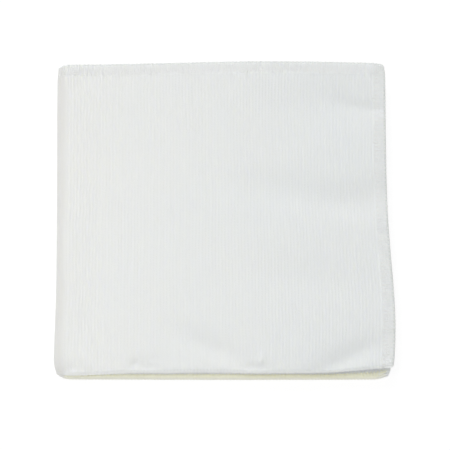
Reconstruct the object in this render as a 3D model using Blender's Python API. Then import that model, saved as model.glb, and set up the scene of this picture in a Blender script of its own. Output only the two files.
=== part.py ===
"""A white ribbed cloth with overlocked edges, folded in quarters and lying flat.

The cloth is one square sheet. It is doubled along the front fold, with its inner face hidden, and
the doubled cloth is then turned under along the spine, on the left. Four layers lie on each other:
the spine is on the left, one front fold lies over another, and four hems show on the right and four
at the back. +X points to the right hems, +Y to the back hems, and +Z up. The origin is under the
middle of the box.
"""

import math
from collections import namedtuple

import bmesh
import bpy

# The sheet, in metres, measured flat from hem to hem.
SHEET_ACROSS = 0.300
SHEET_ALONG = 0.300
SHEET_THICK = 0.0020

# The air that a fold leaves between layers.
LAYER_GAP = 0.0005
PAIR_GAP = 0.0006

# The overlocked edge: the thread draws it thinner and rounds it.
HEM_WIDTH = 0.0045
HEM_THICK_SHARE = 0.80
HEM_BULGE = 0.0005

PAIR_THICK = 2 * SHEET_THICK + LAYER_GAP
STACK_THICK = 2 * PAIR_THICK + PAIR_GAP
FRONT_RADIUS = (SHEET_THICK + LAYER_GAP) / 2
SPINE_RADIUS = (PAIR_THICK + PAIR_GAP) / 2

# The steps of the mesh: round a fold, and over half of the flat cloth.
FRONT_STEPS = 8
SPINE_STEPS = 10
FLAT_STEPS_ACROSS = 13
FLAT_STEPS_ALONG = 20

# How much closer the steps lie at the ends of the flat cloth than in its middle, from 0 to 1.
CROWDING_ACROSS = 0.35
CROWDING_ALONG = 0.10

# Half of the folded cloth's plan, from the outside of a fold to the hem before anything drifts.
HALF_X = (SHEET_ACROSS / 2 - SPINE_RADIUS * math.pi / 2 + SPINE_RADIUS + PAIR_THICK / 2) / 2
HALF_Y = (SHEET_ALONG / 2 - FRONT_RADIUS * math.pi / 2 + FRONT_RADIUS + SHEET_THICK / 2) / 2

BOTH, UPPER, LOWER = "both pairs", "upper pair", "lower pair"

# Where an edge of the folded cloth swells out (or draws in) from a straight line. The place and the
# reach are shares of half the edge, from -1 at its left or front end to 1 at the other.
EdgeDrift = namedtuple("EdgeDrift", "edge pair place reach rise")
EDGE_DRIFTS = (
    EdgeDrift("right", BOTH, -0.72, 0.40, 0.0036),
    EdgeDrift("right", LOWER, 0.30, 0.90, -0.0012),
    EdgeDrift("right", LOWER, -1.00, 0.14, -0.0016),
    EdgeDrift("left", BOTH, 0.90, 0.40, 0.0004),
    EdgeDrift("left", BOTH, -1.00, 0.28, 0.0010),
    EdgeDrift("back", UPPER, 0.33, 0.60, 0.0020),
    EdgeDrift("back", LOWER, -0.20, 0.50, 0.0007),
    EdgeDrift("front", UPPER, -0.90, 0.16, 0.0014),
    EdgeDrift("front", UPPER, -0.55, 0.15, -0.0010),
    EdgeDrift("front", UPPER, -0.10, 0.28, -0.0019),
    EdgeDrift("front", UPPER, 0.50, 0.24, -0.0009),
    EdgeDrift("front", UPPER, 1.00, 0.17, -0.0032),
    EdgeDrift("front", BOTH, 0.10, 0.60, 0.0003),
)

# How far a corner of the folded cloth is drawn in towards its middle, and over what distance.
CornerPull = namedtuple("CornerPull", "pair side_x side_y pull reach")
CORNER_PULLS = (
    CornerPull(BOTH, -1, -1, 0.0014, 0.0040),
    CornerPull(BOTH, -1, 1, 0.0008, 0.0035),
    CornerPull(UPPER, 1, -1, 0.0012, 0.0050),
    CornerPull(LOWER, 1, -1, 0.0022, 0.0050),
    CornerPull(UPPER, 1, 1, 0.0004, 0.0040),
    CornerPull(LOWER, 1, 1, 0.0014, 0.0050),
)

# How far each layer's two hems reach beyond the sheet's full size, or fall short of it (below 0).
# The difference fades out over the first stretch from a fold, and is all taken up near the hem.
STAGGER_FADE = 0.010
STAGGER_POWER = 4
HemStagger = namedtuple("HemStagger", "layer across_side along_side right back")
HEM_STAGGERS = (
    HemStagger("top", 1, 1, 0.0000, 0.0000),
    HemStagger("second", 1, -1, -0.0011, -0.0009),
    HemStagger("third", -1, -1, -0.0016, 0.0004),
    HemStagger("bottom", -1, 1, -0.0006, -0.0007),
)

# Soft troughs (rise below 0) and ridges of the cloth's top, as lengths and widths of a bell.
Crease = namedtuple("Crease", "name x y degrees length width rise")
CREASES = (
    Crease("trough at the right", 0.050, 0.010, -12, 0.0240, 0.0060, -0.0012),
    Crease("trough at the back right", 0.049, 0.061, 0, 0.0150, 0.0060, -0.0005),
    Crease("trough under the middle right", 0.042, -0.027, -8, 0.0170, 0.0060, -0.0005),
    Crease("slanting trough at the front", -0.008, -0.061, -24, 0.0140, 0.0050, -0.0008),
    Crease("slanting trough at the front right", 0.052, -0.066, 20, 0.0170, 0.0050, -0.0010),
    Crease("lifted corner at the front right", 0.069, -0.070, 20, 0.0120, 0.0060, 0.0006),
    Crease("shallow beside the spine", -0.060, -0.037, 90, 0.0220, 0.0060, -0.0006),
    Crease("crown of the spine", -0.070, 0.000, 90, 0.0700, 0.0050, 0.0004),
    Crease("crown of the front fold", 0.000, -0.071, 0, 0.0600, 0.0045, 0.0003),
    Crease("swell in the middle left", -0.030, 0.010, 60, 0.0400, 0.0300, 0.0004),
)

CLOTH_WHITE = (0.80, 0.81, 0.80, 1.0)
CLOTH_ROUGHNESS = 0.95


def clear_scene():
    for obj in list(bpy.data.objects):
        bpy.data.objects.remove(obj, do_unlink=True)


def bell(distance):
    return math.exp(-0.5 * distance * distance)


def between(low, high, share):
    return low + (high - low) * share


def crowded(share, crowding):
    """An even share of the way, moved so that steps lie closer together at both ends."""
    return share - crowding * math.sin(2 * math.pi * share) / (2 * math.pi)


def fold_stations(half, radius, fold_steps, flat_steps, crowding):
    """Lengths along the sheet, from hem to hem, close together round the fold at its middle."""
    quarter = radius * math.pi / 2
    turn = [between(-quarter, quarter, step / fold_steps) for step in range(fold_steps + 1)]
    shares = [crowded(step / flat_steps, crowding) for step in range(1, flat_steps + 1)]
    flat = [between(quarter, half - HEM_WIDTH, share) for share in shares]
    flat.append(half)
    return [-length for length in reversed(flat)] + turn + flat


def turned(length, radius, out):
    """A strip bent half way round on this radius, with a point on it or off it by out.

    Gives how far the point lies behind the bend's axis, and its height over that axis.
    """
    quarter = radius * math.pi / 2
    if abs(length) < quarter:
        angle = length / radius
        return -(radius + out) * math.cos(angle), (radius + out) * math.sin(angle)
    return abs(length) - quarter, math.copysign(radius + out, length)


def staggered(across, along):
    """Draws the four quarters' hems in by their own amounts, all of it near the hem."""
    for layer in HEM_STAGGERS:
        if layer.across_side * across >= 0 and layer.along_side * along >= 0:
            near_right = (abs(across) / (SHEET_ACROSS / 2)) ** STAGGER_POWER
            near_back = (abs(along) / (SHEET_ALONG / 2)) ** STAGGER_POWER
            off_front = min(1.0, abs(along) / STAGGER_FADE)
            off_spine = min(1.0, abs(across) / STAGGER_FADE)
            across += layer.across_side * layer.right * near_right * off_front
            along += layer.along_side * layer.back * near_back * off_spine
            break
    return across, along


def folded(across, along, out):
    """The sheet's point once it is folded in quarters, with every edge still straight."""
    across, along = staggered(across, along)
    behind, off_pair = turned(along, FRONT_RADIUS, out)
    beside, height = turned(across, SPINE_RADIUS, off_pair)
    x = beside + SPINE_RADIUS + PAIR_THICK / 2 - HALF_X
    y = behind + FRONT_RADIUS + SHEET_THICK / 2 - HALF_Y
    return x, y, height + STACK_THICK / 2


def pair_share(pair, z):
    """How much of a pair's own drift a height takes: the change falls in the air between the pairs."""
    upper = min(1.0, max(0.0, (z - PAIR_THICK) / PAIR_GAP))
    return {BOTH: 1.0, UPPER: upper, LOWER: 1.0 - upper}[pair]


def edge_shift(x, y, z):
    """How far the uneven edges move a point of the straight fold in plan."""
    shift_x = 0.0
    shift_y = 0.0
    for drift in EDGE_DRIFTS:
        on_y = drift.edge in ("left", "right")
        side = 1 if drift.edge in ("right", "back") else -1
        place = y / HALF_Y if on_y else x / HALF_X
        near = ((1 + side * (x / HALF_X if on_y else y / HALF_Y)) / 2) ** 2
        move = side * drift.rise * near * pair_share(drift.pair, z)
        move *= bell((place - drift.place) / drift.reach)
        if on_y:
            shift_x += move
        else:
            shift_y += move
    return shift_x, shift_y


def corner_shift(x, y, z):
    """How far the rounded corners draw a point in."""
    shift_x = 0.0
    shift_y = 0.0
    for corner in CORNER_PULLS:
        away = math.hypot(x - corner.side_x * HALF_X, y - corner.side_y * HALF_Y)
        move = corner.pull * bell(away / corner.reach) * pair_share(corner.pair, z) / math.sqrt(2)
        shift_x -= corner.side_x * move
        shift_y -= corner.side_y * move
    return shift_x, shift_y


def top_rise(x, y):
    """How far the soft troughs and ridges raise the top of the stack."""
    rise = 0.0
    for crease in CREASES:
        turn = math.radians(crease.degrees)
        along = (x - crease.x) * math.cos(turn) + (y - crease.y) * math.sin(turn)
        aside = (y - crease.y) * math.cos(turn) - (x - crease.x) * math.sin(turn)
        rise += crease.rise * bell(along / crease.length) * bell(aside / crease.width)
    return rise


def settled(across, along, out):
    """The sheet's point in the folded cloth as it lies, uneven on top and flat below."""
    x, y, z = folded(across, along, out)
    edge_x, edge_y = edge_shift(x, y, z)
    corner_x, corner_y = corner_shift(x, y, z)
    x += edge_x + corner_x
    y += edge_y + corner_y
    return x, y, z * (1 + top_rise(x, y) / STACK_THICK)


def hem_half_thickness(column, row, last_column, last_row):
    on_edge = column in (0, last_column) or row in (0, last_row)
    return SHEET_THICK / 2 * (HEM_THICK_SHARE if on_edge else 1.0)


def add_face_grid(mesh, columns, rows, side):
    """One face of the sheet: side is 1 for the outer face and -1 for the hidden one."""
    grid = []
    for i, across in enumerate(columns):
        line = []
        for j, along in enumerate(rows):
            half = hem_half_thickness(i, j, len(columns) - 1, len(rows) - 1)
            line.append(mesh.verts.new(settled(across, along, side * half)))
        grid.append(line)
    for i in range(len(columns) - 1):
        for j in range(len(rows) - 1):
            mesh.faces.new((grid[i][j], grid[i + 1][j], grid[i + 1][j + 1], grid[i][j + 1]))
    return grid


def rim_places(columns, rows):
    """The grid places round the sheet's edge, in order, with the way that points off the sheet there."""
    last_i = len(columns) - 1
    last_j = len(rows) - 1
    places = [(i, 0, 0, -1) for i in range(last_i)]
    places += [(last_i, j, 1, 0) for j in range(last_j)]
    places += [(i, last_j, 0, 1) for i in range(last_i, 0, -1)]
    places += [(0, j, -1, 0) for j in range(last_j, 0, -1)]
    return places


def add_rounded_rim(mesh, columns, rows, outer, inner):
    """Joins the two faces round the hems, with a bulge half way through the thickness."""
    places = rim_places(columns, rows)
    middle = []
    for i, j, way_across, way_along in places:
        across = columns[i] + way_across * HEM_BULGE
        along = rows[j] + way_along * HEM_BULGE
        middle.append(mesh.verts.new(settled(across, along, 0.0)))
    for step, (i, j, _, _) in enumerate(places):
        after = (step + 1) % len(places)
        next_i, next_j = places[after][:2]
        mesh.faces.new((outer[i][j], outer[next_i][next_j], middle[after], middle[step]))
        mesh.faces.new((middle[step], middle[after], inner[next_i][next_j], inner[i][j]))


def stand_on_origin(mesh):
    """Moves the mesh so that the middle of its box's underside is the origin."""
    shift = []
    for axis in range(3):
        values = [vert.co[axis] for vert in mesh.verts]
        shift.append(-min(values) if axis == 2 else -(min(values) + max(values)) / 2)
    bmesh.ops.translate(mesh, verts=mesh.verts, vec=shift)


def folded_sheet():
    """The whole cloth as one closed solid."""
    columns = fold_stations(
        SHEET_ACROSS / 2, SPINE_RADIUS, SPINE_STEPS, FLAT_STEPS_ACROSS, CROWDING_ACROSS
    )
    rows = fold_stations(SHEET_ALONG / 2, FRONT_RADIUS, FRONT_STEPS, FLAT_STEPS_ALONG, CROWDING_ALONG)
    mesh = bmesh.new()
    outer = add_face_grid(mesh, columns, rows, 1)
    inner = add_face_grid(mesh, columns, rows, -1)
    add_rounded_rim(mesh, columns, rows, outer, inner)
    bmesh.ops.recalc_face_normals(mesh, faces=mesh.faces)
    stand_on_origin(mesh)
    return mesh


def ribbed_cloth_material():
    material = bpy.data.materials.new("white_ribbed_cloth")
    material.use_nodes = True
    shader = material.node_tree.nodes["Principled BSDF"]
    shader.inputs["Base Color"].default_value = CLOTH_WHITE
    shader.inputs["Roughness"].default_value = CLOTH_ROUGHNESS
    shader.inputs["Metallic"].default_value = 0.0
    return material


def add_cloth():
    mesh = folded_sheet()
    data = bpy.data.meshes.new("cloth")
    mesh.to_mesh(data)
    mesh.free()
    data.shade_smooth()
    data.materials.append(ribbed_cloth_material())
    cloth = bpy.data.objects.new("cloth", data)
    bpy.context.scene.collection.objects.link(cloth)
    return cloth


clear_scene()
add_cloth()
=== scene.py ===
"""The looks of a white ribbed cloth, folded in quarters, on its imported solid.

The cloth is one square sheet of ribbed knit with overlocked edges. Every point of it is named by
its place on the flat sheet: how far across the ribs, how far along them, and how far out of the
sheet's middle. The same folds as the solid's bring that point to its place in the folded cloth. The
ribs, the soft creases and the threads of the overlocked edges are all shaped on the flat sheet or on
the folded stack in this way, so that they meet each other and stay on the solid.
"""

import math
from collections import namedtuple

import bpy
import numpy as np
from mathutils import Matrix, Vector


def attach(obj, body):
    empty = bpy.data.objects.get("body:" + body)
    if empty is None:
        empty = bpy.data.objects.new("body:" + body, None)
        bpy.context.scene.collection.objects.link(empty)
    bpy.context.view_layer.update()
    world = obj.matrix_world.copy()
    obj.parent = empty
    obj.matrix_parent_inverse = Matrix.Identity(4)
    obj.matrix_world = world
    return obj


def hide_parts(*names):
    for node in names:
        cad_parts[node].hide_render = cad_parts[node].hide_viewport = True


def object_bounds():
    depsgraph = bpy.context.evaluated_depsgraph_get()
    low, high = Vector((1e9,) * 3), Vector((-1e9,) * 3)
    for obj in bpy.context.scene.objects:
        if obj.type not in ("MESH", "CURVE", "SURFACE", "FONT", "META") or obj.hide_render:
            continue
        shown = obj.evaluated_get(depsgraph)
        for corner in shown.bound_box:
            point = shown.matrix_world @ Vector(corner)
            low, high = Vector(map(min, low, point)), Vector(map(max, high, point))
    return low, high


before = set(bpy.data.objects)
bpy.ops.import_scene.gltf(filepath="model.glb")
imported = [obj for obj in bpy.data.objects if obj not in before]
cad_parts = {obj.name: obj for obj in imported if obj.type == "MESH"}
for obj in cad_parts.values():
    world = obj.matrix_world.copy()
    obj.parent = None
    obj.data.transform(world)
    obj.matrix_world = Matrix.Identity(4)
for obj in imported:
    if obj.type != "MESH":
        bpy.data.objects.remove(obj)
CAD_LOW, CAD_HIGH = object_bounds()

# The sheet and the air between its layers, in metres, as in the solid.
SHEET_ACROSS = 0.300
SHEET_ALONG = 0.300
SHEET_THICK = 0.0020
LAYER_GAP = 0.0005
PAIR_GAP = 0.0006
PAIR_THICK = 2 * SHEET_THICK + LAYER_GAP
STACK_THICK = 2 * PAIR_THICK + PAIR_GAP
FRONT_RADIUS = (SHEET_THICK + LAYER_GAP) / 2
SPINE_RADIUS = (PAIR_THICK + PAIR_GAP) / 2

# Half of the folded cloth's plan, from the outside of a fold to the hem before anything drifts.
HALF_X = (SHEET_ACROSS / 2 - SPINE_RADIUS * math.pi / 2 + SPINE_RADIUS + PAIR_THICK / 2) / 2
HALF_Y = (SHEET_ALONG / 2 - FRONT_RADIUS * math.pi / 2 + FRONT_RADIUS + SHEET_THICK / 2) / 2

# How the front folds are bent: 1 is round, and less fills out the corners of the bend.
FRONT_SQUARENESS = 0.45

# The overlocked edge: how wide it is, how thin it draws the cloth, how far its round rim stands
# out, and where the thinning ends and over how much it fades, in hem widths.
HEM_WIDTH = 0.0050
HEM_THICK_SHARE = 0.82
HEM_BULGE = 0.0004
HEM_THIN_WHOLE = 0.6
HEM_THIN_FADE = 0.8

# The side hems, along the first and the last rib, are rolled thinner still at their lips, by this
# share of the thickness and over this reach.
SIDE_ROLL = 0.22
SIDE_ROLL_REACH = 0.0012

# The ribs of the knit. The profile is how deep the cloth lies below a rib's crest at each of its
# steps. Unevenness is how much the waves below change that depth.
RIB_COUNT = 204
RIB_DEPTH = 0.00019
RIB_PROFILE = (1.0, 0.35, 0.0, 0.35)
RIB_UNEVENNESS = 0.18
RIB_LOSS_IN_HEM = 0.3
LOOP_COUNT = 240

# Waves over the flat sheet, with how fast each turns along and across the ribs, in radians a metre.
# The ribs drift sideways in metres. By the spine they also ripple, in a wave of changing phase.
Wave = namedtuple("Wave", "rise along across phase")
DRIFT_WAVES = (Wave(0.00016, 61, 23, 0.7), Wave(0.00010, 143, -87, 2.1))
HEIGHT_WAVES = (Wave(0.5, 41, 310, 1.3), Wave(0.5, -133, 97, 0.0))
SPINE_WAVE = Wave(0.00022, 340, 60, 0.0)
SPINE_WAVE_CHANGE = Wave(1.1, 71, 0, 0.0)

# Where the ribs stand higher and wave, by the spine, and where they are pressed flatter.
HIGH_RIBS_AT = 0.013
HIGH_RIBS_REACH = 0.005
HIGH_RIBS_RISE = 2.2
FLAT_RIBS_AT = 0.055
FLAT_RIBS_REACH = 0.030
FLAT_RIBS_FALL = 1.8

# The rows of the mesh: round the front fold, and over the lower and the shown half of the sheet.
FOLD_ROWS = 17
LOWER_ROWS = 22
SHOWN_ROWS = 68
ROW_CROWDING = 0.09

# How many columns apart the hidden face keeps one, in flat cloth and round the spine.
INNER_STEP = 16
SPINE_STEP = 2
SPINE_COLUMNS = 16

BOTH, UPPER, LOWER = "both pairs", "upper pair", "lower pair"

# Where an edge of the folded cloth swells out or draws in. The place and the reach are shares of
# half the edge, from -1 at its left or front end to 1 at the other.
EdgeDrift = namedtuple("EdgeDrift", "edge pair place reach rise")
EDGE_DRIFTS = (
    EdgeDrift("right", BOTH, -0.72, 0.40, 0.0036),
    EdgeDrift("right", LOWER, 0.30, 0.90, -0.0012),
    EdgeDrift("right", LOWER, -1.00, 0.14, -0.0010),
    EdgeDrift("left", BOTH, 0.90, 0.40, 0.0004),
    EdgeDrift("left", BOTH, -1.00, 0.28, 0.0010),
    EdgeDrift("back", UPPER, 0.33, 0.60, 0.0020),
    EdgeDrift("back", LOWER, -0.20, 0.50, 0.0007),
    EdgeDrift("front", UPPER, -0.90, 0.16, -0.0001),
    EdgeDrift("front", UPPER, -0.55, 0.15, -0.0010),
    EdgeDrift("front", UPPER, -0.10, 0.28, -0.0019),
    EdgeDrift("front", UPPER, 0.50, 0.22, -0.0014),
    EdgeDrift("front", UPPER, 1.00, 0.22, -0.0036),
    EdgeDrift("front", BOTH, 0.10, 0.60, 0.0003),
)

# How far a corner of the folded cloth is drawn in towards its middle, and over what distance.
CornerPull = namedtuple("CornerPull", "pair side_x side_y pull reach")
CORNER_PULLS = (
    CornerPull(BOTH, -1, -1, 0.0018, 0.0032),
    CornerPull(BOTH, -1, 1, 0.0004, 0.0030),
    CornerPull(UPPER, 1, -1, 0.0004, 0.0020),
    CornerPull(LOWER, 1, -1, 0.0017, 0.0023),
    CornerPull(UPPER, 1, 1, 0.0008, 0.0025),
    CornerPull(LOWER, 1, 1, 0.0014, 0.0050),
)

# How far the upper pair sinks onto the lower one at the front, and how far back that reaches.
FRONT_SINK = 0.0005
FRONT_SINK_REACH = 0.0060

# How far each layer's two hems reach beyond the sheet's full size, or fall short of it (below 0).
# The difference fades out over the first stretch from a fold, and is all taken up near the hem.
STAGGER_FADE = 0.010
STAGGER_POWER = 4
HemStagger = namedtuple("HemStagger", "layer across_side along_side right back")
HEM_STAGGERS = (
    HemStagger("top", 1, 1, 0.0000, 0.0000),
    HemStagger("second", 1, -1, -0.0011, -0.0009),
    HemStagger("third", -1, -1, -0.0016, 0.0004),
    HemStagger("bottom", -1, 1, -0.0006, -0.0007),
)

# Soft troughs (rise below 0) and ridges of the cloth's top, as lengths and widths of a bell.
Crease = namedtuple("Crease", "name x y degrees length width rise")
CREASES = (
    Crease("trough at the right", 0.048, 0.0092, -9, 0.0200, 0.0050, -0.0014),
    Crease("its end at the side hem", 0.069, 0.0118, 12, 0.0110, 0.0048, -0.0012),
    Crease("its shallow start", 0.0252, 0.0161, -12, 0.0120, 0.0050, -0.0006),
    Crease("trough at the back right", 0.049, 0.056, 0, 0.0170, 0.0080, -0.0013),
    Crease("trough under the middle right", 0.042, -0.029, -8, 0.0190, 0.0060, -0.0008),
    Crease("slanting trough at the front", -0.0040, -0.0626, -25, 0.0130, 0.0036, -0.0013),
    Crease("slanting trough at the front right", 0.0530, -0.0697, 25, 0.0150, 0.0032, -0.0015),
    Crease("shallow behind it", 0.060, -0.0645, 12, 0.0120, 0.0055, -0.0008),
    Crease("sunken lip before it", 0.060, -0.0745, 12, 0.0110, 0.0030, -0.0006),
    Crease("lifted corner at the front right", 0.069, -0.070, 20, 0.0120, 0.0060, 0.0002),
    Crease("shallow beside the spine", -0.060, -0.037, 90, 0.0220, 0.0060, -0.0006),
    Crease("crown of the spine", -0.070, 0.000, 90, 0.0700, 0.0050, 0.0004),
    Crease("crown of the front fold", 0.000, -0.071, 0, 0.0600, 0.0045, 0.0003),
    Crease("swell in the middle left", -0.030, 0.010, 60, 0.0400, 0.0300, 0.0004),
    Crease("short crease at the side hem", 0.067, 0.0549, -9, 0.0095, 0.0018, -0.0012),
    Crease("shallow before the short crease", 0.069, 0.0500, -7, 0.0080, 0.0032, -0.0005),
    Crease("pucker by the front fold, left", -0.0335, -0.0718, -4, 0.0040, 0.0013, -0.0010),
    Crease("pucker beside it", -0.0398, -0.0705, 50, 0.0020, 0.0012, -0.0007),
    Crease("faint pucker behind them", -0.0330, -0.0683, 5, 0.0040, 0.0012, -0.0005),
    Crease("pucker by the front fold, middle", 0.0158, -0.0718, -5, 0.0042, 0.0013, -0.0010),
    Crease("ridge beside it", 0.0180, -0.0690, 65, 0.0026, 0.0012, 0.0005),
    Crease("crumple in the front left corner", -0.0700, -0.0733, 22, 0.0036, 0.0013, -0.0009),
    Crease("crumple beside it", -0.0610, -0.0695, -55, 0.0040, 0.0015, 0.0005),
    Crease("crumple in the back left corner", -0.064, 0.068, 25, 0.0070, 0.0030, -0.0003),
)

# The sewing threads. They lie flattened on the cloth, and each stitch is a little off its place
# along the edge, in stitches, and off its width, as a share.
STITCH_PITCH = 0.00185
STITCH_SWAY = 0.045
STITCH_WIDTH_SPREAD = 0.035
THREAD_FLATNESS = 0.55
LOOPER_RADIUS = 0.00016
NEEDLE_RADIUS = 0.00011

# A later seam lies over an earlier one from this many hem widths before the corner, and rises to
# that height over this length.
CROSSING_START = 1.3
CROSSING_RISE = 0.001

# How far out of the cloth a second point is taken, to find the way out of it.
WAY_OUT_STEP = 0.0001

# One stitch of each thread of the overlocked edge. Run is along the edge in stitches, inward is the
# way in from the flat face's end in hem widths, turn is the angle round the rim, and lift is how
# high the thread's middle lies over the cloth, in halves of its height.
Knot = namedtuple("Knot", "run inward turn lift")
UPPER_LOOPER = (
    Knot(0.00, 1.00, 0, -1.4),
    Knot(0.04, 0.86, 0, -0.7),
    Knot(0.08, 0.55, 0, -0.4),
    Knot(0.11, 0.22, 0, -0.3),
    Knot(0.13, 0.00, 25, 0.3),
    Knot(0.15, 0.00, 65, 0.8),
    Knot(0.21, 0.00, 92, 0.9),
    Knot(0.33, 0.00, 92, 0.9),
    Knot(0.40, 0.00, 65, 0.8),
    Knot(0.43, 0.00, 25, 0.3),
    Knot(0.48, 0.22, 0, -0.3),
    Knot(0.62, 0.55, 0, -0.4),
    Knot(0.84, 0.86, 0, -0.7),
)
LOWER_LOOPER = (
    Knot(0.20, 1.00, 0, -1.2),
    Knot(0.30, 0.55, 0, 0.0),
    Knot(0.37, 0.10, 0, 0.2),
    Knot(0.40, 0.00, 60, 0.8),
    Knot(0.46, 0.00, 88, 0.9),
    Knot(0.56, 0.00, 88, 0.9),
    Knot(0.62, 0.00, 60, 0.8),
    Knot(0.68, 0.10, 0, 0.2),
    Knot(0.88, 0.55, 0, 0.0),
)
NEEDLE_THREAD = (
    Knot(0.02, 1.00, 0, -1.7),
    Knot(0.18, 1.01, 0, -1.0),
    Knot(0.50, 1.01, 0, -0.9),
    Knot(0.84, 1.01, 0, -1.0),
)

# A thread as it runs through many stitches: which face it lies on, its radius, and its sides.
Thread = namedtuple("Thread", "knots face radius sides seed")
THREADS = (
    Thread(UPPER_LOOPER, 1, LOOPER_RADIUS, 6, 11),
    Thread(LOWER_LOOPER, -1, LOOPER_RADIUS, 4, 12),
    Thread(NEEDLE_THREAD, 1, NEEDLE_RADIUS, 4, 13),
)

# The sheet's four edges: the flat measure that is the same all along one, its side, and the order
# in which they are sewn, since a later seam crosses over an earlier one at their corner.
Edge = namedtuple("Edge", "axis side order")
EDGES = (Edge("across", 1, 0), Edge("across", -1, 0), Edge("along", 1, 1), Edge("along", -1, 1))
EDGE_SEED_STEP = 7

# The cloth's map. For the outer face: the place of the sheet's middle, and how far its halves reach
# from there, with the most for the shown quarter. The inner face and the rim have strips beside it.
MAP_MIDDLE_U, MAP_LOW_U, MAP_HIGH_U = 0.22, 0.216, 0.578
MAP_MIDDLE_V, MAP_LOW_V, MAP_HIGH_V = 0.30, 0.296, 0.696
INNER_MAP_MIDDLE, INNER_MAP_REACH = 0.882, 0.076
RIM_MAP_START = 0.966
RIM_MAP_STEP = 0.008
RIM_MAP_BAND = 0.003
RIM_MAP_MARGIN = 0.004

# The threads' map has this many cells each way, with a margin round each. An end of a thread is a
# round spot in its cell.
CELLS = 46
CELL_MARGIN = 0.08
END_SPOT = 0.4

# Tones of the knit. Pairs go from the first tone to the second.
# The spine side's tones, and the hem side's darker ones: painted shade that grows towards the top's
# right hem, away from the light.
SPINE_SIDE_TONES = ((0.866, 0.882, 0.872, 1), (0.882, 0.884, 0.858, 1))
SHADED_HEM_SIDE_TONES = ((0.832, 0.864, 0.868, 1), (0.850, 0.866, 0.858, 1))
# Painted light: the hems' lighter tones make up for the shade that the threads cast there.
HEM_PAINTED_LIGHT_TONES = ((0.918, 0.938, 0.911, 1), (0.903, 0.937, 0.926, 1))
# A cream tint over the lower pair's front fold; its second, darker tone is painted shade over a
# stretch of it.
CREAM_TONES = ((0.897, 0.890, 0.718, 1), (0.830, 0.820, 0.650, 1))
# Painted shade in the spaces between loops, also the tone of the fibres' darker flecks.
HOLLOW_SHADE_AND_FLECK_TONE = (0.66, 0.67, 0.65, 1)
# Painted shade at the foot of the lower pair's front fold, by the floor.
LIP_SHADE_TONE = (0.770, 0.762, 0.675, 1)
# Painted shade over the round of the spine fold.
SPINE_SHADE_TONE = (0.780, 0.780, 0.758, 1)
# Painted shade along the sheet's very edge and its rim.
RIM_SHADE_TONE = (0.795, 0.825, 0.812, 1)

# Bands of the knit in shares of the flat sheet: whole up to near a line, and gone far from it.
Band = namedtuple("Band", "line near far")
HEM_PAINTED_LIGHT_BAND = Band(0.0, 0.0165, 0.0205)
CREAM_BAND = Band(0.5, 0.006, 0.028)
SHADED_STRETCH_BAND = Band(0.14, 0.04, 0.10)
LIP_SHADE_BAND = Band(0.503, 0.002, 0.007)
SPINE_SHADE_BAND = Band(0.5, 0.007, 0.016)
RIM_SHADE_BAND = Band(0.0, 0.0005, 0.0028)

# Between these places across the flat sheet its tones go over to the hem side's darker ones, painted
# shade towards the top's right hem.
TO_HEM_SIDE = (0.52, 0.92)

# How much of the hollow tone the spaces between loops bring in, as painted shade, and how much the
# fibres bring in, as darker flecks.
LOOP_SHADE = 0.06
FIBRE_HOLLOW = 0.05

# Where the loops lie in the width of a rib, and how unevenly they are set.
LOOP_CREST = 0.32
LOOP_RANDOMNESS = 0.36

# The fine relief: how high it stands, in metres, and how strongly it shows.
Relief = namedtuple("Relief", "height strength")
LOOP_RELIEF = Relief(0.00015, 0.5)
FIBRE_RELIEF = Relief(0.00006, 0.4)
THREAD_RELIEF = Relief(0.00002, 0.5)

# The roughness without fibres, and how much they add to it.
KNIT_ROUGHNESS = (0.86, 0.12)
THREAD_ROUGHNESS = (0.60, 0.20)

KNIT_LOOKS = {
    "Subsurface Weight": 0.7,
    "Subsurface Radius": (1.0, 1.0, 0.9),
    "Subsurface Scale": 0.0015,
    "Sheen Weight": 0.08,
    "Sheen Roughness": 0.6,
    "Specular IOR Level": 0.15,
}

THREAD_TONES = ((0.928, 0.948, 0.936, 1), (0.938, 0.948, 0.929, 1))
THREAD_FIBRE_TONE = (0.80, 0.81, 0.79, 1)
THREAD_FIBRE_SHARE = 0.10

# A noise's size, in turns a metre, and its detail.
Grain = namedtuple("Grain", "scale detail")
KNIT_CLOUDS = Grain(26.0, 2.0)
KNIT_FIBRES = Grain(2600.0, 3.0)
THREAD_CLOUDS = Grain(60.0, 2.0)
THREAD_FIBRES = Grain(5200.0, 2.0)

# The camera stands in front of the cloth, looking down on it, and sees this many metres across.
CAMERA_ELEVATION = 69.88
CAMERA_DISTANCE = 2.965
CAMERA_CLIP = (0.05, 20.0)
VIEW_ACROSS = 0.20646
AIM = (0.00018, -0.00225, 0.0048)
SENSOR = 36.0

# The light: the bright surroundings, soft boxes that face the cloth, and the floor's glow.
WORLD_STRENGTH = 0.50
SoftBox = namedtuple("SoftBox", "name place side power")
SOFT_BOXES = (
    SoftBox("key_light", (-0.55, 2.35, 1.81), 1.5, 34.8),
    SoftBox("top_light", (0.0, -0.25, 3.0), 1.5, 3.1),
    SoftBox("front_light", (0.10, -1.60, 1.90), 0.8, 4.7),
    SoftBox("side_light", (-0.12, -0.06, 0.35), 0.20, 0.21),
    SoftBox("fill_light", (0.15, -1.20, 0.30), 0.8, 0.37),
)
FLOOR_REACH = 3
FLOOR_HEIGHT = -0.00002
FLOOR_LOOKS = {
    "Base Color": (0.25, 0.25, 0.25, 1),
    "Roughness": 0.9,
    "Emission Color": (1, 1, 1, 1),
    "Emission Strength": 0.80,
}


def bell(distance):
    return np.exp(-0.5 * distance * distance)


def smooth_step(value):
    value = np.clip(value, 0.0, 1.0)
    return value * value * (3 - 2 * value)


def wave_rise(wave, across, along):
    return wave.rise * np.sin(along * wave.along + across * wave.across + wave.phase)


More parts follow.
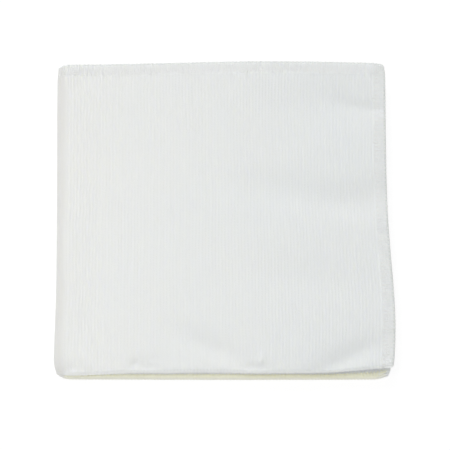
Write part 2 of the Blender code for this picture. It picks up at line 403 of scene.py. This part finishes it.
def turned(length, radius, out, squareness=1.0):
    """A strip bent half way round: how far behind the bend a point lies, and how high."""
    quarter = radius * math.pi / 2
    angle = np.clip(length, -quarter, quarter) / radius
    bent = np.abs(length) < quarter
    round_behind = np.cos(angle) ** squareness
    round_height = np.sign(length) * np.abs(np.sin(angle)) ** squareness
    behind = np.where(bent, -(radius + out) * round_behind, np.abs(length) - quarter)
    height = np.where(bent, (radius + out) * round_height, np.sign(length) * (radius + out))
    return behind, height


def staggered(across, along):
    """Draws the four layers' hems in or out by their own amounts."""
    near_right = (np.abs(across) / (SHEET_ACROSS / 2)) ** STAGGER_POWER
    near_back = (np.abs(along) / (SHEET_ALONG / 2)) ** STAGGER_POWER
    off_front = np.minimum(1.0, np.abs(along) / STAGGER_FADE)
    off_spine = np.minimum(1.0, np.abs(across) / STAGGER_FADE)
    new_across = across.copy()
    new_along = along.copy()
    for layer in HEM_STAGGERS:
        here = (np.sign(across) == layer.across_side) & (np.sign(along) == layer.along_side)
        new_across += here * layer.across_side * layer.right * near_right * off_front
        new_along += here * layer.along_side * layer.back * near_back * off_spine
    return new_across, new_along


def folded(across, along, out):
    """The sheet's point once it is folded in quarters, with every edge still straight."""
    across, along = staggered(across, along)
    behind, off_pair = turned(along, FRONT_RADIUS, out, FRONT_SQUARENESS)
    beside, height = turned(across, SPINE_RADIUS, off_pair)
    x = beside + SPINE_RADIUS + PAIR_THICK / 2 - HALF_X
    y = behind + FRONT_RADIUS + SHEET_THICK / 2 - HALF_Y
    return x, y, height + STACK_THICK / 2


def pair_share(pair, z):
    """How much a point at this height belongs to the pair of layers."""
    upper = np.clip((z - PAIR_THICK) / PAIR_GAP, 0.0, 1.0)
    return {BOTH: 1.0, UPPER: upper, LOWER: 1.0 - upper}[pair]


def edge_shift(x, y, z):
    """How far the uneven edges move a point of the straight fold in plan."""
    shift = {"x": 0.0, "y": 0.0}
    for drift in EDGE_DRIFTS:
        on_y = drift.edge in ("left", "right")
        side = 1 if drift.edge in ("right", "back") else -1
        place = y / HALF_Y if on_y else x / HALF_X
        near = ((1 + side * (x / HALF_X if on_y else y / HALF_Y)) / 2) ** 2
        move = side * drift.rise * near * pair_share(drift.pair, z)
        shift["x" if on_y else "y"] += move * bell((place - drift.place) / drift.reach)
    return shift["x"], shift["y"]


def corner_shift(x, y, z):
    """How far the rounded corners draw a point in."""
    shift_x = 0.0
    shift_y = 0.0
    for corner in CORNER_PULLS:
        away = np.hypot(x - corner.side_x * HALF_X, y - corner.side_y * HALF_Y)
        move = corner.pull * bell(away / corner.reach) * pair_share(corner.pair, z) / math.sqrt(2)
        shift_x = shift_x - corner.side_x * move
        shift_y = shift_y - corner.side_y * move
    return shift_x, shift_y


def top_rise(x, y):
    """How far the soft troughs and ridges raise the top of the stack."""
    rise = 0.0
    for crease in CREASES:
        turn = math.radians(crease.degrees)
        along = (x - crease.x) * math.cos(turn) + (y - crease.y) * math.sin(turn)
        aside = (y - crease.y) * math.cos(turn) - (x - crease.x) * math.sin(turn)
        rise = rise + crease.rise * bell(along / crease.length) * bell(aside / crease.width)
    return rise


def closed_up(y, z):
    """How far the upper pair sinks onto the lower one by the front folds."""
    return -FRONT_SINK * bell((y + HALF_Y) / FRONT_SINK_REACH) * pair_share(UPPER, z)


def settled(across, along, out):
    """Points of the flat sheet, in the folded cloth as it lies."""
    x, y, z = folded(across, along, out)
    z = z + closed_up(y, z)
    edge_x, edge_y = edge_shift(x, y, z)
    corner_x, corner_y = corner_shift(x, y, z)
    x = x + edge_x + corner_x
    y = y + edge_y + corner_y
    return np.stack([x, y, z * (1 + top_rise(x, y) / STACK_THICK)], axis=-1)


def wander(across, along):
    """How far the ribs drift sideways, and how uneven their height is, around 0."""
    high = bell((across - HIGH_RIBS_AT) / HIGH_RIBS_REACH)
    flat = bell((across - FLAT_RIBS_AT) / FLAT_RIBS_REACH)
    ripple = SPINE_WAVE._replace(phase=wave_rise(SPINE_WAVE_CHANGE, across, along))
    drift = sum(wave_rise(wave, across, along) for wave in DRIFT_WAVES)
    drift += high * wave_rise(ripple, across, along)
    uneven = sum(wave_rise(wave, across, along) for wave in HEIGHT_WAVES)
    uneven += HIGH_RIBS_RISE * high - FLAT_RIBS_FALL * flat
    return drift, uneven


def from_hem(across, along):
    """How far a place of the sheet is from the nearest of its four edges."""
    return np.minimum(SHEET_ACROSS / 2 - np.abs(across), SHEET_ALONG / 2 - np.abs(along))


def half_thickness(across, along):
    """Half of the cloth's thickness at the ribs' crests, and how much a place is in the hem.

    The overlocking draws the cloth thinner, and a side hem's rolled lip is thinner still."""
    past_whole = from_hem(across, along) - HEM_THIN_WHOLE * HEM_WIDTH
    in_hem = 1 - smooth_step(past_whole / (HEM_THIN_FADE * HEM_WIDTH))
    rolled = smooth_step(1 - (SHEET_ACROSS / 2 - np.abs(across)) / SIDE_ROLL_REACH)
    share = 1 - (1 - HEM_THICK_SHARE) * in_hem - SIDE_ROLL * rolled
    return SHEET_THICK / 2 * share, in_hem


def rows_along():
    """Lengths along the ribs, close at the front fold and at the hem, and fewer where hidden."""
    quarter = FRONT_RADIUS * math.pi / 2
    turn = np.linspace(-quarter, quarter, FOLD_ROWS)
    runs = []
    for count in (LOWER_ROWS, SHOWN_ROWS):
        share = np.linspace(0, 1, count + 1)[1:]
        crowded = share - ROW_CROWDING * np.sin(2 * math.pi * share)
        runs.append(quarter + (SHEET_ALONG / 2 - quarter) * crowded)
    return np.concatenate([-runs[0][::-1], turn, runs[1]])


def columns_across():
    """Lengths across the ribs, with the same few steps to each rib."""
    return np.linspace(-SHEET_ACROSS / 2, SHEET_ACROSS / 2, RIB_COUNT * len(RIB_PROFILE) + 1)


def inner_columns(count):
    """The columns that the hidden face keeps: close together round the spine, few elsewhere."""
    middle = count // 2
    round_spine = range(middle - SPINE_COLUMNS, middle + SPINE_COLUMNS + 1, SPINE_STEP)
    return sorted(set(range(0, count, INNER_STEP)) | set(round_spine) | {count - 1})


def face_points(columns, rows, side, ribbed=True):
    """Folded points of one face, on its grid. Side is 1 for the outer face, -1 for the other."""
    across, along = np.meshgrid(columns, rows, indexing="ij")
    half, in_hem = half_thickness(across, along)
    if not ribbed:
        return settled(across, along, side * half)
    drift, uneven = wander(across, along)
    off_edge = smooth_step(from_hem(across, along) / HEM_WIDTH)
    if side > 0:
        depth = np.resize(RIB_PROFILE, len(columns))[:, None] * (1 + RIB_UNEVENNESS * uneven)
        half = half - RIB_DEPTH * depth * (1 - RIB_LOSS_IN_HEM * in_hem)
    return settled(across + drift * off_edge, along, side * half)


def onto_the_solid():
    """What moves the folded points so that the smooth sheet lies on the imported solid.

    The two meet at the middle of their width, at the back, and on the ground."""
    columns = columns_across()[::len(RIB_PROFILE)]
    rows = rows_along()
    smooth = [face_points(columns, rows, 1, ribbed=False).reshape(-1, 3)]
    edge = SHEET_ACROSS / 2 + HEM_BULGE + LOOPER_RADIUS * THREAD_FLATNESS
    for side in (-1, 1):
        smooth.append(settled(np.full(len(rows), side * edge), rows, np.zeros(len(rows))))
        smooth.append(settled(columns, np.full(len(columns), side * edge), np.zeros(len(columns))))
    points = np.concatenate(smooth)
    low, high = points.min(0), points.max(0)
    sideways = (CAD_LOW[0] + CAD_HIGH[0] - low[0] - high[0]) / 2
    return np.array([sideways, CAD_HIGH[1] - high[1], CAD_LOW[2] - low[2]])


def bake_place(across, along, inner):
    """Where a place of the sheet lies on the sheet's own map."""
    share_u = across / SHEET_ACROSS * 2
    share_v = along / SHEET_ALONG * 2
    if inner:
        u = INNER_MAP_MIDDLE + INNER_MAP_REACH * share_u
    else:
        u = MAP_MIDDLE_U + np.where(share_u < 0, MAP_LOW_U, MAP_HIGH_U) * share_u
    v = MAP_MIDDLE_V + np.where(share_v < 0, MAP_LOW_V, MAP_HIGH_V) * share_v
    return np.stack([u, v], axis=-1)


RimStep = namedtuple("RimStep", "i j side_i side_j side run next_run")


def rim_steps(columns, rows, kept):
    """Steps round the sheet's edge. Run is how far along its side each one is, as a share."""
    last_i, last_j = len(columns) - 1, len(rows) - 1
    along_rows = list(range(last_j + 1))
    walks = (
        ([(i, 0) for i in kept], 0, -1),
        ([(last_i, j) for j in along_rows], 1, 0),
        ([(i, last_j) for i in kept[::-1]], 0, 1),
        ([(0, j) for j in along_rows[::-1]], -1, 0),
    )
    steps = []
    for side, (places, side_i, side_j) in enumerate(walks):
        at = np.array([(columns[i], rows[j]) for i, j in places])
        run = np.abs(at - at[0]).sum(axis=1) / SHEET_ACROSS
        for step in range(len(places) - 1):
            i, j = places[step]
            steps.append(RimStep(i, j, side_i, side_j, side, run[step], run[step + 1]))
    return steps


def rim_corner(step, run, line):
    """A point of the rim's strip on the map. Line is 0 at the outer face, 1 at the middle, or 2."""
    start = RIM_MAP_START + RIM_MAP_STEP * step.side
    return (start + RIM_MAP_BAND * line, RIM_MAP_MARGIN + (1 - 2 * RIM_MAP_MARGIN) * run)


class Sheet:
    """The whole sheet as one closed mesh, with its place on the map at each corner of each face."""

    def __init__(self):
        self.columns = columns_across()
        self.rows = rows_along()
        self.kept = inner_columns(len(self.columns))
        outer = face_points(self.columns, self.rows, 1)
        inner = face_points(self.columns[self.kept], self.rows, -1)
        self.outer_id = np.arange(outer.shape[0] * outer.shape[1]).reshape(outer.shape[:2])
        inner_count = inner.shape[0] * inner.shape[1]
        self.inner_id = self.outer_id.size + np.arange(inner_count).reshape(inner.shape[:2])
        self.points = [outer.reshape(-1, 3), inner.reshape(-1, 3)]
        self.flat = [self.flat_grid(self.columns), self.flat_grid(self.columns[self.kept])]
        self.faces = []
        self.map = []
        self.add_grid(self.outer_id, self.columns, False)
        self.add_grid(self.inner_id, self.columns[self.kept], True)
        self.add_rim()

    def flat_grid(self, columns):
        return np.stack(np.meshgrid(columns, self.rows, indexing="ij"), axis=-1).reshape(-1, 2)

    def add_grid(self, grid, columns, inner):
        """The faces of a grid of points, turned outwards."""
        places = bake_place(*np.meshgrid(columns, self.rows, indexing="ij"), inner)
        cuts = [(slice(None, -1), slice(None, -1)), (slice(1, None), slice(None, -1)),
                (slice(1, None), slice(1, None)), (slice(None, -1), slice(1, None))]
        if inner:
            cuts = [cuts[0], cuts[3], cuts[2], cuts[1]]
        self.faces += np.stack([grid[cut].ravel() for cut in cuts], axis=-1).tolist()
        self.map += np.stack([places[cut].reshape(-1, 2) for cut in cuts], axis=1).tolist()

    def add_rim(self):
        """The round rim: a line of points between the two faces, joined to the many columns of the
        outer face and to the few of the inner one."""
        steps = rim_steps(self.columns, self.rows, list(range(len(self.columns))))
        across = np.array([self.columns[step.i] + step.side_i * HEM_BULGE for step in steps])
        along = np.array([self.rows[step.j] + step.side_j * HEM_BULGE for step in steps])
        first = self.outer_id.size + self.inner_id.size
        self.points.append(settled(across, along, np.zeros(len(steps))))
        self.flat.append(np.stack([across, along], axis=-1))
        sparse = rim_steps(self.columns, self.rows, self.kept)
        place_of = {column: place for place, column in enumerate(self.kept)}
        sparse_at = {(step.i, step.j): step for step in sparse}
        under = sparse[0]
        for number, step in enumerate(steps):
            after = steps[(number + 1) % len(steps)]
            rim, rim_after = first + number, first + (number + 1) % len(steps)
            face = (self.outer_id[after.i, after.j], self.outer_id[step.i, step.j], rim, rim_after)
            places = ((step.next_run, 0), (step.run, 0), (step.run, 1), (step.next_run, 1))
            self.add_face(step, face, places)
            under = sparse_at.get((step.i, step.j), under)
            here = self.inner_id[place_of[under.i], under.j]
            places = ((step.run, 1), (under.run, 2), (step.next_run, 1))
            self.add_face(step, (rim, here, rim_after), places)
            if (after.i, after.j) in sparse_at:
                there = self.inner_id[place_of[after.i], after.j]
                places = ((step.next_run, 1), (under.run, 2), (step.next_run, 2))
                self.add_face(step, (rim_after, here, there), places)

    def add_face(self, step, face, places):
        self.faces.append([int(point) for point in face])
        self.map.append([rim_corner(step, run, line) for run, line in places])


def new_piece(name, points, faces, places, material):
    """A mesh object with smooth shading and its own map for each corner of each face."""
    data = bpy.data.meshes.new(name)
    data.from_pydata(points.tolist(), [], faces)
    layer = data.uv_layers.new(name="OFBake")
    layer.data.foreach_set("uv", np.array([v for face in places for place in face for v in place]))
    data.shade_smooth()
    data.materials.append(material)
    data.update()
    piece = bpy.data.objects.new(name, data)
    bpy.context.scene.collection.objects.link(piece)
    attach(piece, "root")
    return piece


def add_cloth(shift, material):
    sheet = Sheet()
    points = np.concatenate(sheet.points) + shift
    cloth = new_piece("folded_cloth", points, sheet.faces, sheet.map, material)
    flat = np.concatenate(sheet.flat) / SHEET_ACROSS + 0.5
    corners = np.array([point for face in sheet.faces for point in face])
    layer = cloth.data.uv_layers.new(name="flat_cloth")
    layer.data.foreach_set("uv", flat[corners].ravel())
    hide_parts("cloth")
    return cloth


def on_hem(edge, face, run, inward, turn, lift):
    """A point near the hem's surface, folded. Run is a length along the edge, from its middle."""
    depth = inward - (HEM_BULGE + lift) * np.sin(turn)
    off = edge.side * (SHEET_ACROSS / 2 - depth)
    across, along = (off, run) if edge.axis == "across" else (run, off)
    limit = SHEET_ACROSS / 2
    half, _ = half_thickness(np.clip(across, -limit, limit), np.clip(along, -limit, limit))
    return settled(across, along, face * (half + lift) * np.cos(turn))


def thread_path(edge, thread):
    """The thread's points from end to end of the edge, and the ways out of the cloth there."""
    count = int(SHEET_ACROSS / STITCH_PITCH)
    rng = np.random.default_rng(thread.seed + EDGE_SEED_STEP * EDGES.index(edge))
    run, inward, turn, lift = (np.array(column, dtype=float) for column in zip(*thread.knots))
    sway = rng.normal(0, STITCH_SWAY, (count, 1))
    width = 1 + rng.normal(0, STITCH_WIDTH_SPREAD, (count, 1))
    runs = ((np.arange(count)[:, None] + run + sway - count / 2) * STITCH_PITCH).ravel()
    inwards = (inward * width * HEM_WIDTH).ravel()
    turns = np.radians(np.tile(turn, count))
    past_start = np.abs(runs) - SHEET_ACROSS / 2 + HEM_WIDTH * CROSSING_START
    crossing = smooth_step(past_start / CROSSING_RISE)
    half_height = thread.radius * THREAD_FLATNESS
    lifts = half_height * (np.tile(lift, count) + edge.order * crossing)
    points = on_hem(edge, thread.face, runs, inwards, turns, lifts)
    above = on_hem(edge, thread.face, runs, inwards, turns, lifts + WAY_OUT_STEP)
    return points, above - points


def tube(points, ways_out, radius, sides):
    """Rings of points round a path, flattened onto the cloth."""
    ahead = np.gradient(points, axis=0)
    ahead /= np.linalg.norm(ahead, axis=1)[:, None]
    aside = np.cross(ahead, ways_out)
    aside /= np.linalg.norm(aside, axis=1)[:, None]
    up = np.cross(aside, ahead)
    angle = np.arange(sides) * 2 * math.pi / sides + math.pi / 4
    ring = np.cos(angle)[:, None] * up[:, None, :] * THREAD_FLATNESS
    ring = ring + np.sin(angle)[:, None] * aside[:, None, :]
    return points[:, None, :] + radius * ring


class Threads:
    """Every thread of the overlocked edges, as closed tubes, with a cell of the map to a stitch."""

    def __init__(self):
        self.points = []
        self.faces = []
        self.map = []
        self.count = 0
        self.cell = 0

    def add(self, rings, knots):
        """One thread from its rings of points, with this many rings to a stitch."""
        sides = rings.shape[1]
        first = self.count
        self.points.append(rings.reshape(-1, 3))
        self.count += rings.shape[0] * sides
        for start in range(0, len(rings) - 1, knots):
            for step in range(start, min(start + knots, len(rings) - 1)):
                here, there = first + step * sides, first + (step + 1) * sides
                low, high = (step - start) / knots, (step + 1 - start) / knots
                for side in range(sides):
                    other = (side + 1) % sides
                    self.faces.append([here + side, here + other, there + other, there + side])
                    corners = ((side, low), (side + 1, low), (side + 1, high), (side, high))
                    self.map.append([self.cell_place(u / sides, v) for u, v in corners])
            self.cell += 1
        self.close(first, sides, False)
        self.close(first + (len(rings) - 1) * sides, sides, True)

    def cell_place(self, *shares):
        """A place in the present cell of the map, from its shares of the cell both ways."""
        inside = 1 - 2 * CELL_MARGIN
        cell = (self.cell % CELLS, self.cell // CELLS)
        return tuple((low + CELL_MARGIN + inside * share) / CELLS
                     for low, share in zip(cell, shares))

    def close(self, first, sides, far_end):
        """The flat end of a thread."""
        face = [first + side for side in range(sides)]
        angles = [side * 2 * math.pi / sides for side in range(sides)]
        spots = [(END_SPOT * math.cos(angle), END_SPOT * math.sin(angle)) for angle in angles]
        places = [self.cell_place(0.5 + u, 0.5 + v) for u, v in spots]
        self.faces.append(face if far_end else face[::-1])
        self.map.append(places if far_end else places[::-1])
        self.cell += 1


def add_stitching(shift, material):
    threads = Threads()
    for edge in EDGES:
        for thread in THREADS:
            rings = tube(*thread_path(edge, thread), thread.radius, thread.sides)
            threads.add(rings, len(thread.knots))
    points = np.concatenate(threads.points) + shift
    return new_piece("edge_stitching", points, threads.faces, threads.map, material)


def node(tree, kind, settings, inputs):
    """A new node with its settings, and its inputs as plain values or as other nodes' outputs.

    An input is named by its name or its number."""
    made = tree.nodes.new(kind)
    for name, value in settings.items():
        setattr(made, name, value)
    for key, value in inputs.items():
        if isinstance(value, bpy.types.NodeSocket):
            tree.links.new(value, made.inputs[key])
        else:
            made.inputs[key].default_value = value
    return made


def math_node(tree, operation, *values):
    settings = {"operation": operation}
    return node(tree, "ShaderNodeMath", settings, dict(enumerate(values))).outputs[0]


def mix_colours(tree, share, first, second):
    inputs = {0: share, 6: first, 7: second}
    return node(tree, "ShaderNodeMix", {"data_type": "RGBA"}, inputs).outputs[2]


def noise(tree, vector, grain):
    inputs = {"Vector": vector, "Scale": grain.scale, "Detail": grain.detail}
    return node(tree, "ShaderNodeTexNoise", {}, inputs).outputs[0]


def bump(tree, height, relief, before=None):
    inputs = {"Height": height, "Distance": relief.height, "Strength": relief.strength}
    if before is not None:
        inputs["Normal"] = before
    return node(tree, "ShaderNodeBump", {}, inputs).outputs["Normal"]


def roughened(tree, shader, fibres, roughness):
    """Lets the fibres change how rough the surface is."""
    plain, added = roughness
    rough = math_node(tree, "ADD", math_node(tree, "MULTIPLY", fibres, added), plain)
    tree.links.new(rough, shader.inputs["Roughness"])


def off_line(tree, value, line):
    return math_node(tree, "ABSOLUTE", math_node(tree, "SUBTRACT", value, line))


def fading(tree, distance, band):
    """1 up to the band's near distance, 0 from its far one on, and smooth between them."""
    inputs = {"Value": distance, 1: band.near, 2: band.far, 3: 1.0, 4: 0.0}
    settings = {"interpolation_type": "SMOOTHSTEP"}
    return node(tree, "ShaderNodeMapRange", settings, inputs).outputs[0]


def on_band(tree, value, band):
    return fading(tree, off_line(tree, value, band.line), band)


def start_material(name, looks):
    """A material whose surface has these plain values."""
    material = bpy.data.materials.new(name)
    material.use_nodes = True
    shader = material.node_tree.nodes["Principled BSDF"]
    for key, value in looks.items():
        shader.inputs[key].default_value = value
    return material, material.node_tree, shader


def hem_distance(tree, place):
    """The flat map's distance to the nearest edge of the cloth, as a share of its width."""
    near = [math_node(tree, "SUBTRACT", 0.5, off_line(tree, place[axis], 0.5)) for axis in "XY"]
    return math_node(tree, "MINIMUM", *near)


def loop_hollows(tree, place):
    """The distance to the middle of the nearest loop: the loops follow each other along a rib."""
    ribs = math_node(tree, "MULTIPLY", place["X"], float(RIB_COUNT))
    loops = math_node(tree, "MULTIPLY", place["Y"], float(LOOP_COUNT))
    number = math_node(tree, "FLOOR", ribs)
    settings = {"noise_dimensions": "1D"}
    chance = node(tree, "ShaderNodeTexWhiteNoise", settings, {"W": number}).outputs["Value"]
    across = math_node(tree, "SUBTRACT", ribs, LOOP_CREST)
    along = math_node(tree, "ADD", loops, chance)
    grid = node(tree, "ShaderNodeCombineXYZ", {}, {0: across, 1: along}).outputs[0]
    inputs = {"Vector": grid, "Scale": 1.0, "Randomness": LOOP_RANDOMNESS}
    settings = {"voronoi_dimensions": "2D"}
    return node(tree, "ShaderNodeTexVoronoi", settings, inputs).outputs["Distance"]


def knit_tone(tree, place, clouds, hollow):
    """The knit's colour: its slow changes, painted shade between its loops, darker fibre flecks, and
    bands by its hems and folds.
    The bands are painted shade towards the top's right hem, over the spine, along the rim and at the
    foot of the lower front fold, and painted light over the hems.
    A cream tint lies over the lower front fold, with painted shade over a stretch of it.
    """
    # Painted shade: the tones grow darker towards the top's right hem, away from the light.
    inputs = {"Value": place["X"], 1: TO_HEM_SIDE[0], 2: TO_HEM_SIDE[1], 3: 0.0, 4: 1.0}
    to_hem_side = node(tree, "ShaderNodeMapRange", {}, inputs).outputs[0]
    sides = [mix_colours(tree, clouds, *tones) for tones in (SPINE_SIDE_TONES, SHADED_HEM_SIDE_TONES)]
    tone = mix_colours(tree, to_hem_side, *sides)
    tone = mix_colours(tree, hollow, tone, HOLLOW_SHADE_AND_FLECK_TONE)
    off_hem = hem_distance(tree, place)
    # Painted light over the hems, against the threads' shade.
    hem_tone = mix_colours(tree, to_hem_side, *HEM_PAINTED_LIGHT_TONES)
    tone = mix_colours(tree, fading(tree, off_hem, HEM_PAINTED_LIGHT_BAND), tone, hem_tone)
    # A cream tint over the lower pair's front fold, with painted shade over a stretch towards its
    # right end.
    on_lower = math_node(tree, "LESS_THAN", place["X"], 0.5)
    cream = math_node(tree, "MULTIPLY", on_lower, on_band(tree, place["Y"], CREAM_BAND))
    cream_tone = mix_colours(tree, on_band(tree, place["X"], SHADED_STRETCH_BAND), *CREAM_TONES)
    tone = mix_colours(tree, cream, tone, cream_tone)
    # Painted shade at the foot of the lower pair's front fold, by the floor.
    lip = math_node(tree, "MULTIPLY", on_lower, on_band(tree, place["Y"], LIP_SHADE_BAND))
    tone = mix_colours(tree, lip, tone, LIP_SHADE_TONE)
    # Painted shade over the round of the spine fold.
    tone = mix_colours(tree, on_band(tree, place["X"], SPINE_SHADE_BAND), tone, SPINE_SHADE_TONE)
    # Painted shade along the sheet's very edge and its rim.
    return mix_colours(tree, fading(tree, off_hem, RIM_SHADE_BAND), tone, RIM_SHADE_TONE)


def knit_material():
    """White looped knit: loops along each rib, painted shade in the hollows between them, fibres,
    soft sheen.
    """
    material, tree, shader = start_material("white_knit", KNIT_LOOKS)
    flat = node(tree, "ShaderNodeUVMap", {"uv_map": "flat_cloth"}, {}).outputs["UV"]
    place = node(tree, "ShaderNodeSeparateXYZ", {}, {0: flat}).outputs
    where = node(tree, "ShaderNodeTexCoord", {}, {}).outputs["Object"]
    hollows = loop_hollows(tree, place)
    clouds = noise(tree, where, KNIT_CLOUDS)
    fibres = noise(tree, where, KNIT_FIBRES)
    # Painted shade between the loops, with the fibres' darker flecks.
    in_loops = math_node(tree, "MULTIPLY", hollows, LOOP_SHADE)
    hollow = math_node(tree, "ADD", in_loops, math_node(tree, "MULTIPLY", fibres, FIBRE_HOLLOW))
    tree.links.new(knit_tone(tree, place, clouds, hollow), shader.inputs["Base Color"])
    roughened(tree, shader, fibres, KNIT_ROUGHNESS)
    loops = bump(tree, math_node(tree, "SUBTRACT", 1.0, hollows), LOOP_RELIEF)
    tree.links.new(bump(tree, fibres, FIBRE_RELIEF, loops), shader.inputs["Normal"])
    return material


def thread_material():
    """White sewing thread with a little lustre and fine loose fibres."""
    material, tree, shader = start_material("white_thread", {"Specular IOR Level": 0.3})
    where = node(tree, "ShaderNodeTexCoord", {}, {}).outputs["Object"]
    fibres = noise(tree, where, THREAD_FIBRES)
    tone = mix_colours(tree, noise(tree, where, THREAD_CLOUDS), *THREAD_TONES)
    darker = math_node(tree, "MULTIPLY", fibres, THREAD_FIBRE_SHARE)
    tone = mix_colours(tree, darker, tone, THREAD_FIBRE_TONE)
    tree.links.new(tone, shader.inputs["Base Color"])
    roughened(tree, shader, fibres, THREAD_ROUGHNESS)
    tree.links.new(bump(tree, fibres, THREAD_RELIEF), shader.inputs["Normal"])
    return material


def add_floor():
    """A pale floor that glows a little, so that it stays white round the cloth."""
    material, _, _ = start_material("pale_floor", FLOOR_LOOKS)
    mesh = bpy.data.meshes.new("floor")
    corners = [(x * FLOOR_REACH, y * FLOOR_REACH, FLOOR_HEIGHT)
               for x, y in ((-1, -1), (1, -1), (1, 1), (-1, 1))]
    mesh.from_pydata(corners, [], [(0, 1, 2, 3)])
    mesh.materials.append(material)
    floor = bpy.data.objects.new("floor", mesh)
    bpy.context.scene.collection.objects.link(floor)


def aimed(way):
    """The turn that makes a light or a camera look this way."""
    return way.to_track_quat("-Z", "Y")


def add_lights():
    world = bpy.data.worlds.new("soft_studio")
    world.use_nodes = True
    background = world.node_tree.nodes["Background"]
    background.inputs["Color"].default_value = (1, 1, 1, 1)
    background.inputs["Strength"].default_value = WORLD_STRENGTH
    bpy.context.scene.world = world
    for box in SOFT_BOXES:
        light = bpy.data.lights.new(box.name, "AREA")
        light.shape = "RECTANGLE"
        light.size = light.size_y = box.side
        light.energy = box.power
        lamp = bpy.data.objects.new(box.name, light)
        lamp.location = box.place
        lamp.rotation_mode = "QUATERNION"
        lamp.rotation_quaternion = aimed(-Vector(box.place))
        lamp.visible_camera = False
        bpy.context.scene.collection.objects.link(lamp)


def add_camera():
    elevation = math.radians(CAMERA_ELEVATION)
    back = Vector((0, -math.cos(elevation), math.sin(elevation)))
    data = bpy.data.cameras.new("camera")
    data.sensor_width = SENSOR
    data.lens = SENSOR * CAMERA_DISTANCE / VIEW_ACROSS
    data.clip_start, data.clip_end = CAMERA_CLIP
    camera = bpy.data.objects.new("camera", data)
    camera.location = Vector(AIM) + back * CAMERA_DISTANCE
    camera.rotation_mode = "QUATERNION"
    camera.rotation_quaternion = aimed(-back)
    bpy.context.scene.collection.objects.link(camera)
    bpy.context.scene.camera = camera


bpy.context.scene.view_settings.view_transform = "Standard"
shift = onto_the_solid()
cloth = add_cloth(shift, knit_material())
stitching = add_stitching(shift, thread_material())
add_floor()
add_lights()
add_camera()
